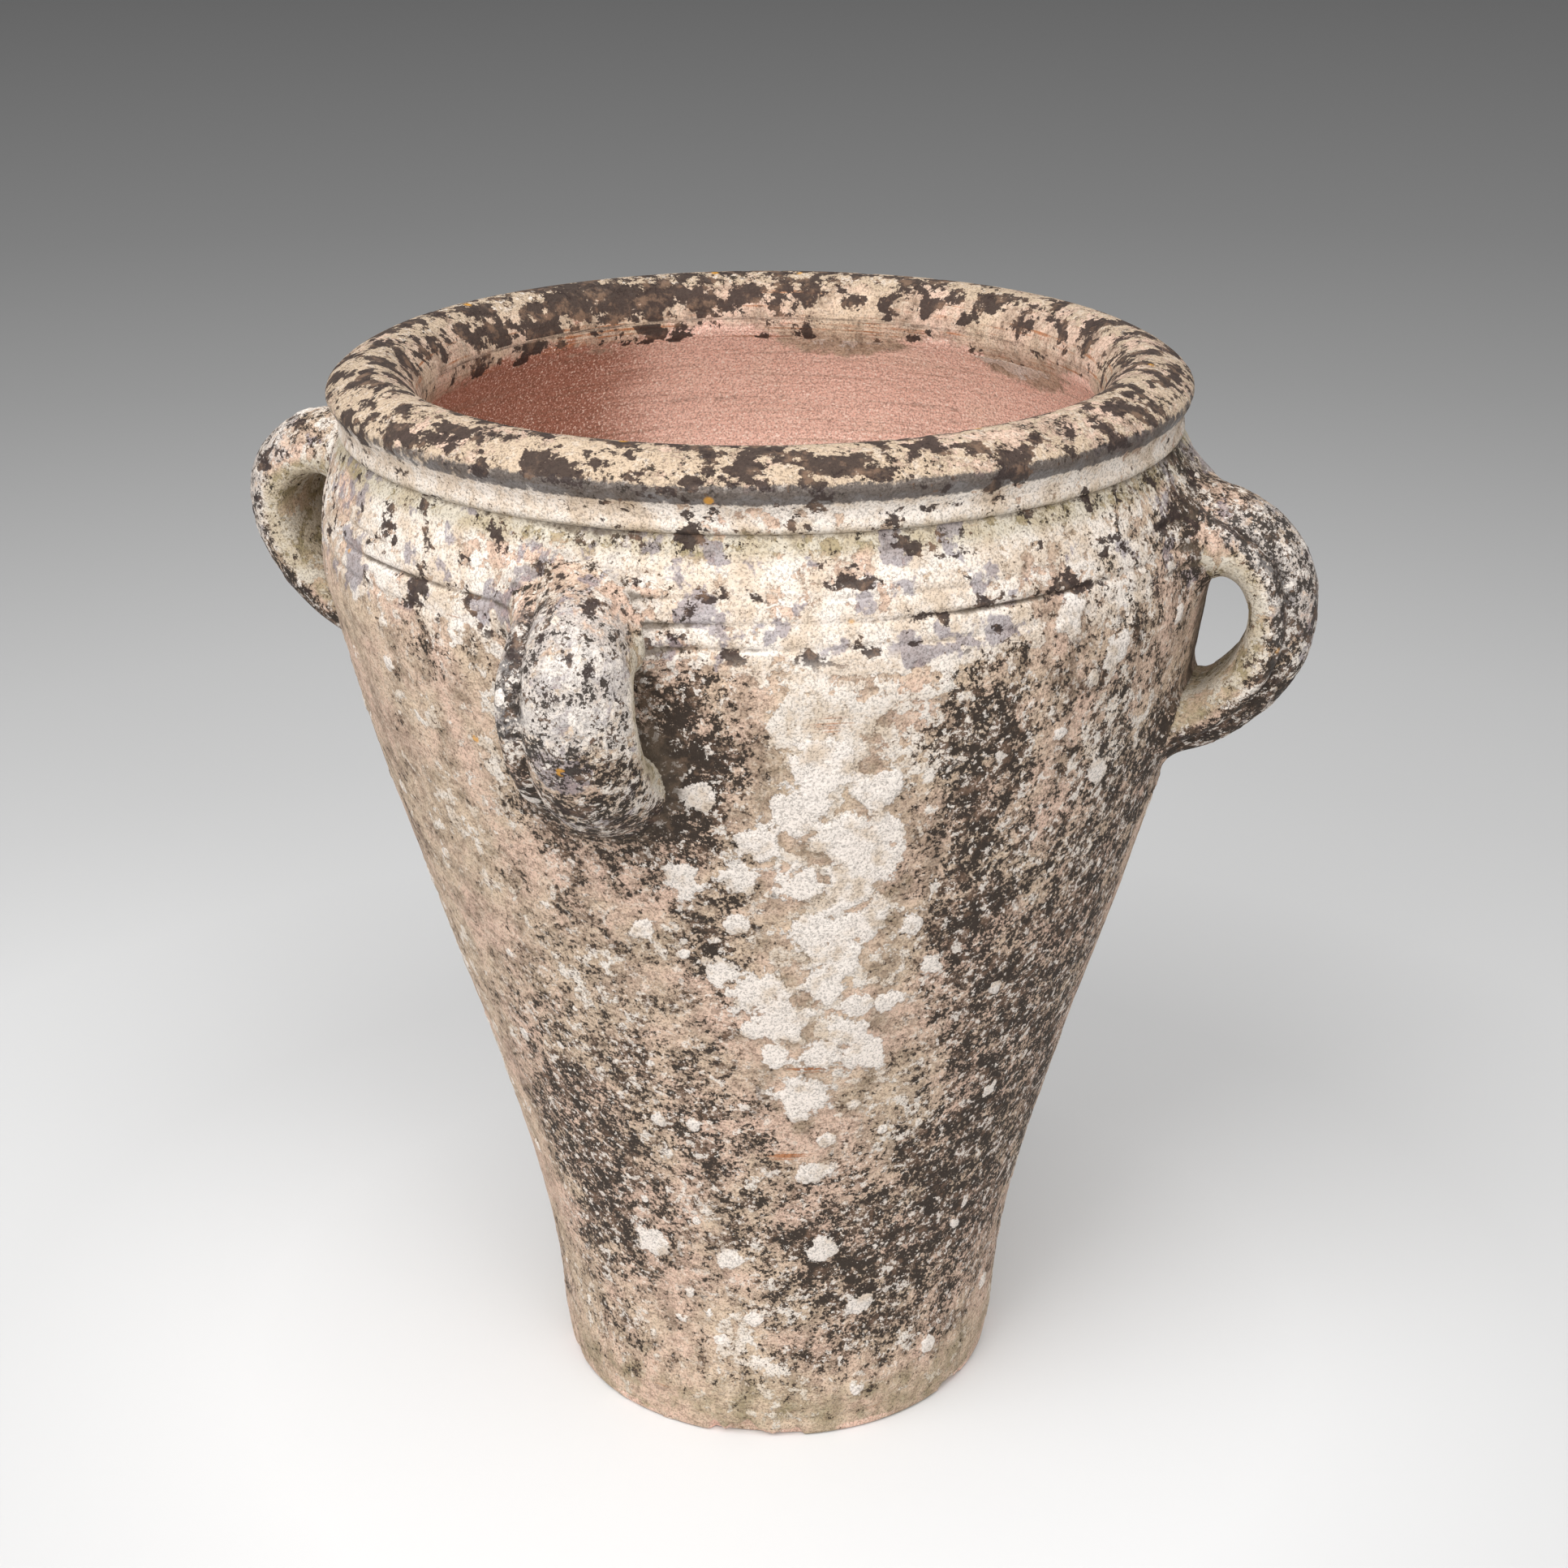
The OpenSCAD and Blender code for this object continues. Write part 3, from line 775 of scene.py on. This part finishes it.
for name, ring in rings.items():
    azimuth, z, rho = about(read_points(ring.data))
    amounts = wall_amounts(azimuth, z, rho)
    if name in near_root:
        # Painted shade round the handle roots, where strap and wall meet: more grime and darker specks.
        amounts["grime"] = np.clip(amounts["grime"] + 0.42 * near_root[name], 0, 1)
        amounts["dark"] = amounts["dark"] + 0.07 * near_root[name]
        amounts["colonies"] = amounts["colonies"] * (1 - near_root[name])
    store(ring.data, amounts)
    around = np.arctan2(z - ROLL_HEIGHT, rho - ROLL_CIRCLE)
    along = np.where(z > LEDGE_HEIGHT, ROLL_HEIGHT + ROLL_RADIUS * around, z)
    store_run(ring.data, along, 200 * np.sin(np.radians(azimuth)), 200 * np.cos(np.radians(azimuth)))
for side, quarter in SIDES.items():
    mesh = handles[side].data
    store(mesh, strap_amounts(mesh, quarter))
    across, outwards, _ = read_named(mesh, "cut place", 3).T / -MM
    store_run(mesh, 190 * read_named(mesh, "way") + 37 * quarter, across, outwards)
for piece in (*rings.values(), *handles.values()):
    lean(piece.data)
AMOUNTS = sorted(wall_amounts(np.zeros(1), np.zeros(1), np.ones(1)))
print("amounts:", AMOUNTS)

# %% [markdown]
# ## Masks that colour and relief share
# A lichen colony is a thin raised disc, and old lime stands a little proud of the clay. If colour and relief come from
# the same noise at the same place, every patch has its own edge in the light. So the masks are one recipe, used by
# the tree that moves the mesh and again by the material. Each row of the recipe sums a few noises and amounts, each
# times a weight, and cuts the sum between two levels: close levels give a sharp edge, far ones a soft stain. Scales
# are the number of grains in a metre, so 520 is a grain of about 2 mm and 62 a clump of 16 mm.

# %% Mask recipe
NOISES = {
    "patchy": (20.0, 3.0, 0.6), "clumps": (62.0, 4.0, 0.6), "flaky": (105.0, 6.0, 0.66), "ragged": (175.0, 6.0, 0.74),
    "grain": (520.0, 3.0, 0.7),
}  # fmt: skip
SPECKLED = {"grain": 0.34, "clumps": 0.22, "ragged": 0.44, "dark": 1.0}
GROWTH = {
    "crust": ({"flaky": 0.62, "patchy": 0.38, "cream": 1.0}, 0.50, 0.517, 1.0),
    "specks": (SPECKLED, 0.545, 0.557, 1.0),
    "halo": (SPECKLED, 0.48, 0.57, 0.55),
    "placed": ({"flaky": 2.6, "rosettes": 1.0}, 1.34, 1.44, 1.0),
}
CELL_SCALE, SHAKE = 62.0, 0.006


def add_masks(tree, at, rows):
    """Adds a mask for each row: what it sums, the low and high level, its greatest share and the masks that limit it."""
    for name, (parts, low, high, top, *limits) in rows.items():
        mask = 0.0
        for part, weight in parts.items():
            mask = add(tree, f"{MATH}:MULTIPLY_ADD", at[part], weight, mask)
        mask = add(tree, "ShaderNodeMapRange", mask, low, high, 0.0, top, interpolation_type="SMOOTHSTEP")
        for limit in limits:
            mask = add(tree, f"{MATH}:MULTIPLY", mask, at[limit])
        at[name] = mask


def grow_masks(tree, where, at):
    """Adds the shared noises and masks to a tree's named amounts. Cells of random size make the round colonies."""
    for name, (scale, detail, rough) in NOISES.items():
        at[name] = add(tree, "ShaderNodeTexNoise", links={"Vector": where, "Scale": scale, "Detail": detail, "Roughness": rough})
    add_masks(tree, at, GROWTH)
    shaken = add(tree, "ShaderNodeTexNoise", links={"Vector": where, "Scale": 170.0, "Detail": 3.0}).node.outputs["Color"]
    bent = add(tree, f"{VECTOR}:ADD", where, add(tree, f"{VECTOR}:SCALE", shaken, links={"Scale": SHAKE}))
    cells = add(tree, "ShaderNodeTexVoronoi", links={"Vector": bent, "Scale": CELL_SCALE}).node.outputs
    odds = add(tree, "ShaderNodeSeparateXYZ", cells["Color"]).node.outputs
    size = add(tree, f"{MATH}:MULTIPLY_ADD", odds[0], 0.30, 0.12)
    at["inside disc"] = add(tree, f"{MATH}:SUBTRACT", size, cells["Distance"])
    at["lives"] = add(tree, f"{MATH}:LESS_THAN", odds[1], at["colonies"])
    add_masks(tree, at, {"disc": ({"inside disc": 1.0}, 0.0, 0.05, 1.0, "lives")})
    at["colony"] = add(tree, f"{MATH}:MAXIMUM", at["disc"], at["placed"])


# %% [markdown]
# ## Raised crust
# The relief tree moves each point outwards by the thickness of what grows there: about a third of a millimetre for the
# cream crust and twice that for a round colony. The finest grain is left to the material's bump.


# %% Relief tree
def relief_tree():
    """A node tree that raises crust and colonies on a finished clay mesh."""
    tree, given = new_tree("Grow crust", "Weathered", Clay_piece="geometry", Crust_height="size", Colony_height="size", Clay="material")
    at = {name: add(tree, "GeometryNodeInputNamedAttribute", data_type="FLOAT", links={"Name": name})
          for name in ("cream", "dark", "rosettes", "colonies")}  # fmt: skip
    grow_masks(tree, add(tree, "GeometryNodeInputPosition"), at)
    crust = add(tree, f"{MATH}:MULTIPLY", at["crust"], given["Crust height"])
    height = add(tree, f"{MATH}:MULTIPLY_ADD", at["colony"], given["Colony height"], crust)
    offset = add(tree, f"{VECTOR}:SCALE", add(tree, "GeometryNodeInputNormal"), links={"Scale": height})
    raised = add(tree, "GeometryNodeSetPosition", given["Clay piece"], links={"Offset": offset})
    return finish_tree(tree, raised, given["Clay"])


RELIEF = relief_tree()
SEAM_ANGLE = math.radians(50)
for piece in (*rings.values(), *handles.values()):
    values = {"Crust height": 0.35 * MM, "Colony height": 0.7 * MM, "Clay": terracotta}
    piece.data = bake_tree(piece, RELIEF, values)
    piece.data.set_sharp_from_angle(angle=SEAM_ANGLE)
print("crust grown on", len(rings) + len(handles), "pieces")

# %% [markdown]
# ## Weathered terracotta
# Terracotta is low-fired clay: matt, slightly sandy, pink to buff, with bright grit in it. Outdoors it greys, turns
# green where water stands, and takes on lime, lichen and black specks. The material lays these over each other in the
# order in which they came: clay, stains, algae, crust, rust, specks, colonies. Nothing on it shines but rubbed edges,
# and their colour is partly painted: a navy band of painted sheen on the rim and a pale grey painted glare on the
# handle tops. Painted shade also darkens the inside on the left, the grooves and the hollows round the handles.


# %% Colours
def colour(code):
    """A colour from its sRGB hex code, as linear values."""
    parts = [int(code[i : i + 2], 16) / 255 for i in (1, 3, 5)]
    return [c / 12.92 if c <= 0.04045 else ((c + 0.055) / 1.055) ** 2.4 for c in parts] + [1.0]


# Some paints stand for light: navy and worn grey paint the sheen and glare on rubbed edges, damp clay paints the shadow
# inside the mouth, and grime also paints shade in hollows.
PAINTS = {
    "pink clay": "#D9BAA6", "buff clay": "#D0B9A0", "grey clay": "#95816D", "mauve clay": "#8B7467", "fresh clay": "#F6CCBA", "pale clay": "#F3D3BE",
    "shadowed inner clay": "#B5806B", "grit": "#FFF3E6", "cream crust": "#E7DDD3", "buff crust": "#D3C1AE", "colony": "#EBE1D8",
    "rim crust": "#BEA88F", "painted glare grey": "#BFB7B1", "dark edge with painted navy sheen": "#23242F", "speck": "#2E251E", "brown": "#6F5746",
    "blotch": "#342723", "grime": "#54483B", "algae": "#8E8660", "rust": "#A8683A", "violet": "#7F7883", "orange": "#CF9433",
}  # fmt: skip

# %% [markdown]
# ## What lies on what
# Two tables hold the whole finish. The first says where each mark lies, in the same kind of rows as before. The
# second gives each coat a first paint and then its layers, from the lowest up, as pairs of a paint or coat and the mark
# where it lies.

# %% Marks and coats
SURFACE_NOISES = {
    "streaks": ((75.0, 75.0, 9.0), 4.0, 0.6), "level": ((12.0, 12.0, 480.0), 2.0, 0.6), "dashes": ((58.0, 58.0, 74.0), 6.0, 0.66),
}  # fmt: skip
MARKS = {
    "buffed": ({"patchy": 1.0}, 0.38, 0.62, 1.0),
    "greyed": ({"clumps": 1.0, "streaks": 0.5}, 0.62, 0.95, 0.75),
    "streaked": ({"streaks": 1.0}, 0.55, 0.78, 0.35),
    "pale spots": ({"mottle": 1.0}, 0.53, 0.60, 0.5),
    "brown spots": ({"mottle": 1.0}, 0.46, 0.39, 0.45),
    "wiped": ({"level": 1.0}, 0.52, 0.72, 0.3),
    "pale": ({"patchy": 1.0}, 0.45, 0.75, 0.6),
    "gritty": ({"sand": 1.0}, 0.58, 0.64, 0.9),
    # Painted shadow of the rim on the inside left, broken up a little by noise.
    "painted inner shadow": ({"wet": 1.0, "level": 0.5, "clumps": 0.4}, 0.5, 1.35, 1.0),
    "bare": ({"pink": 1.0, "flaky": 1.2}, 0.95, 1.25, 1.0),
    "green": ({"algae": 1.0, "clumps": 1.5}, 0.95, 1.75, 0.7),
    "rusty": ({"rust": 1.0, "level": 1.8, "flaky": 0.9}, 1.75, 2.15, 0.85),
    "stained": ({"clumps": 1.0, "grain": 0.4}, 0.58, 0.82, 1.0),
    "on rim": ({"blotch": 1.0, "clumps": 1.2}, 0.9, 1.2, 0.95),
    "greenish": ({"algae": 1.0}, 0.0, 1.0, 0.45),
    "crusted": ({"crust": 1.0}, 0.0, 1.0, 0.93),
    "film place": ({"violet": 1.0}, 0.3, 0.4, 0.65),
    "film": ({"cloudy": 1.0, "violet": 0.1}, 0.62, 0.66, 1.0, "film place"),
    # Rubbed edges are smoother in fact; their colour is painted sheen, with painted glare on the handle tops.
    "rubbed_and_painted_sheen": ({"polish": 1.0, "ragged": 1.9}, 1.35, 1.75, 1.0),
    "painted glare": ({"violet": 1.0, "clumps": 1.0}, 0.8, 1.1, 1.0),
    "painted sheen place": ({"rubbed_and_painted_sheen": 1.0}, 0.0, 1.0, 0.8),
    "dark place": ({"dark": 1.0}, -0.05, 0.08, 0.6),
    "flecks": ({"grain": 1.0}, 0.41, 0.37, 1.0, "dark place"),
    "brown specks": ({"flaky": 1.0}, 0.48, 0.62, 1.0),
    "specked": ({"specks": 1.0}, 0.0, 1.0, 0.96),
    "flake place": ({"dark": 1.0}, -0.03, 0.04, 0.85),
    "flakes": ({"mottle": 0.6, "flaky": 0.4}, 0.552, 0.567, 1.0, "flake place"),
    "mauve": ({"clumps": 0.5, "flaky": 0.5, "dark": 0.8}, 0.56, 0.60, 0.6),
    "old colony": ({"clumps": 1.0}, 0.50, 0.68, 1.0),
    "on colony": ({"colony": 1.0}, 0.0, 1.0, 0.93),
    "pits": ({"sand": 1.0}, 0.49, 0.41, 0.4),
    # Darkening from the amount above: painted shade in the groove under the roll, round the roots and behind the
    # straps, and darker incised lines.
    "grime and painted shade place": ({"grime": 1.0, "flaky": 1.3}, 0.90, 1.40, 0.85),
    "blotch place": ({"blotch": 1.0}, 0.05, 0.22, 0.95),
    "blotched": ({"dashes": 1.0, "blotch": 0.10}, 0.604, 0.628, 1.0, "blotch place"),
    "brown blotch": ({"flaky": 1.0}, 0.50, 0.66, 1.0),
    "dots": ({"cell distance": 1.0}, 0.16, 0.08, 0.8, "rare cell", "crust"),
}  # fmt: skip
COATS = {
    # The fresh coat's darker clay is painted shadow inside the mouth.
    "fresh coat": ("fresh clay", ("pale clay", "pale"), ("shadowed inner clay", "painted inner shadow"), ("grit", "gritty")),
    "crust coat": ("cream crust", ("buff crust", "stained"), ("rim crust", "on rim"), ("algae", "greenish")),
    # Painted sheen: a navy band on dark rubbed edges, with pale grey painted glare on the handle tops.
    "dark edge and painted sheen coat": ("dark edge with painted navy sheen", ("painted glare grey", "painted glare")),
    "speck coat": ("speck", ("brown", "brown specks")),
    "colony coat": ("colony", ("buff crust", "old colony")),
    "blotch coat": ("blotch", ("brown", "brown blotch")),
    "face": (
        "pink clay", ("buff clay", "buffed"), ("grey clay", "greyed"), ("grime", "streaked"), ("buff crust", "pale spots"),
        ("brown", "brown spots"), ("mauve clay", "mauve"), ("fresh coat", "bare"), ("grey clay", "wiped"), ("algae", "green"), ("brown", "halo"),
        ("crust coat", "crusted"), ("rust", "rusty"), ("violet", "film"), ("dark edge and painted sheen coat", "painted sheen place"), ("buff crust", "flecks"),
        ("speck coat", "specked"), ("cream crust", "flakes"), ("colony coat", "on colony"), ("speck", "pits"), ("grime", "grime and painted shade place"),
        ("blotch coat", "blotched"), ("orange", "dots"),
    ),
}  # fmt: skip
HEIGHTS = {"crust": 0.30, "colony": 0.50, "specks": 0.18, "sand": 0.45, "flaky": 1.4, "level": 0.4, "grain": 0.9}


# %% Terracotta nodes
def weather(material, names):
    """Fills in the nodes of the weathered terracotta, from the tables of marks and coats."""
    material.use_nodes = True
    tree = material.node_tree
    tree.nodes.clear()
    at = {name: add(tree, "ShaderNodeAttribute", attribute_name=name).node.outputs["Fac"] for name in names}
    where = add(tree, "ShaderNodeTexCoord").node.outputs["Object"]
    grow_masks(tree, where, at)
    run = add(tree, "ShaderNodeAttribute", attribute_name="run").node.outputs["Vector"]
    for name, (stretch, detail, rough) in SURFACE_NOISES.items():
        place = add(tree, f"{VECTOR}:MULTIPLY", run, stretch)
        at[name] = add(tree, "ShaderNodeTexNoise", links={"Vector": place, "Scale": 1.0, "Detail": detail, "Roughness": rough})
    for name, scale, detail, rough in (("sand", 800.0, 2.0, 0.7), ("mottle", 250.0, 5.0, 0.68), ("cloudy", 48.0, 4.0, 0.6)):
        at[name] = add(tree, "ShaderNodeTexNoise", links={"Vector": where, "Scale": scale, "Detail": detail, "Roughness": rough})
    cells = add(tree, "ShaderNodeTexVoronoi", links={"Vector": where, "Scale": 55.0}).node.outputs
    at["cell distance"] = cells["Distance"]
    at["rare cell"] = add(tree, f"{MATH}:GREATER_THAN", add(tree, "ShaderNodeSeparateXYZ", cells["Color"]).node.outputs[2], 0.9)
    add_masks(tree, at, MARKS)
    paint = {name: colour(code) for name, code in PAINTS.items()}
    for name, (lowest, *layers) in COATS.items():
        paint[name] = paint[lowest]
        for upper, mark in layers:
            sockets = {0: at[mark], 6: paint[name], 7: paint[upper]}
            paint[name] = add(tree, "ShaderNodeMix", data_type="RGBA", links=sockets).node.outputs[2]
    height = 0.0
    for name, high in HEIGHTS.items():
        height = add(tree, f"{MATH}:MULTIPLY_ADD", at[name], high * MM, height)
    bump = add(tree, "ShaderNodeBump", links={"Strength": 0.8, "Distance": 1.0, "Height": height})
    roughness = add(tree, "ShaderNodeMapRange", at["rubbed_and_painted_sheen"], 0.0, 1.0, 0.88, 0.42)
    surface = add(tree, "ShaderNodeBsdfPrincipled", links={
        "Base Color": paint["face"], "Roughness": roughness, "IOR": 1.5, "Specular IOR Level": 0.35, "Normal": bump,
    })  # fmt: skip
    add(tree, "ShaderNodeOutputMaterial", surface)


weather(terracotta, AMOUNTS)
print("terracotta nodes:", len(terracotta.node_tree.nodes))

# %% [markdown]
# ## Tie each piece to the solids
# Each visual piece stands for its own solids and rides on the part's one body. A handle also stands for its two pads,
# because its spread roots are those pads, wiped in.

# %% Ride and replace
for name, ring in rings.items():
    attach(ring, "root")
    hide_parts(name)
for side, piece in handles.items():
    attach(piece, "root")
    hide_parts("handle_" + side, "upper_pad_" + side, "lower_pad_" + side)
print("pieces:", len(rings) + len(handles))

# %% [markdown]
# ## Studio
# The jar stands on a pale floor whose colour is painted from pale by the jar to grey far away, in every direction:
# a painted falloff of the light. Wide soft lights from the front, the sides and above keep the shadows faint, as in a
# product photograph. The air of the room is as grey as the far floor at eye level and pale overhead.

# %% Floor
FLOOR_HALF = 20.0


def floor_with_painted_falloff():
    """A wide floor painted pale near the jar and greyer away from it: a painted falloff of the light."""
    mesh = bpy.data.meshes.new("studio_floor")
    side = FLOOR_HALF
    mesh.from_pydata([(-side, -side, 0), (side, -side, 0), (side, side, 0), (-side, side, 0)], [], [(0, 1, 2, 3)])
    paper = bpy.data.materials.new("Matt studio paper")
    paper.use_nodes = True
    tree = paper.node_tree
    tree.nodes.clear()
    where = add(tree, "ShaderNodeTexCoord").node.outputs["Object"]
    far = add(tree, f"{VECTOR}:LENGTH", where).node.outputs["Value"]
    share = add(tree, "ShaderNodeMapRange", add(tree, f"{MATH}:LOGARITHM", add(tree, f"{MATH}:ADD", far, 0.12), 10.0), -0.9, 1.0)
    ramp = add(tree, "ShaderNodeValToRGB", share).node
    # Painted light falloff: the floor's colour goes from pale at the jar's foot to grey far away.
    painted_falloff_shades = (
        (0.0, "#DCDCDC"), (0.28, "#D9D9D9"), (0.35, "#CECECE"), (0.43, "#CDCDCD"), (0.49, "#C3C3C3"), (0.55, "#BCBCBC"),
        (0.62, "#AFAFAF"), (0.69, "#A0A0A0"), (0.78, "#909090"), (1.0, "#757575"),
    )  # fmt: skip
    for place, code in painted_falloff_shades[1:-1]:
        ramp.color_ramp.elements.new(place)
    for element, (place, code) in zip(ramp.color_ramp.elements, painted_falloff_shades):
        element.position, element.color = place, colour(code)
    surface = add(tree, "ShaderNodeBsdfPrincipled", links={"Base Color": ramp.outputs[0], "Roughness": 0.9, "Specular IOR Level": 0.1})
    add(tree, "ShaderNodeOutputMaterial", surface)
    mesh.materials.append(paper)
    return link_mesh("studio_floor", mesh)


floor_with_painted_falloff()
print("floor half width in metres:", FLOOR_HALF)


# %% Lights
def soft_light(name, place, target, size, power):
    """One large square lamp that looks at a target."""
    lamp = bpy.data.lights.new(name, "AREA")
    lamp.size, lamp.energy = size, power
    made = bpy.data.objects.new(name, lamp)
    aim = (Vector(place) - Vector(target)).to_track_quat("Z", "Y").to_matrix().to_4x4()
    made.matrix_world = Matrix.Translation(place) @ aim
    bpy.context.scene.collection.objects.link(made)
    return made


MIDDLE = (0, 0, 0.35)
soft_light("front left softbox", (-1.3, -2.4, 2.2), MIDDLE, 3.0, 74)
soft_light("front right softbox", (2.3, -1.9, 1.6), MIDDLE, 1.6, 20)
soft_light("high front softbox", (0.4, -1.7, 2.6), MIDDLE, 2.4, 60)
world = bpy.data.worlds.new("Grey studio air")
bpy.context.scene.world = world
world.use_nodes = True
sky = world.node_tree
sky.nodes.clear()
height = add(sky, "ShaderNodeSeparateXYZ", add(sky, "ShaderNodeTexCoord")).node.outputs[2]
bright = add(sky, "ShaderNodeMapRange", height, 0.0, 0.6, 0.13, 0.66)
add(sky, "ShaderNodeOutputWorld", add(sky, "ShaderNodeBackground", links={"Color": bright, "Strength": 1.0}))
bpy.context.scene.view_settings.view_transform = "Standard"
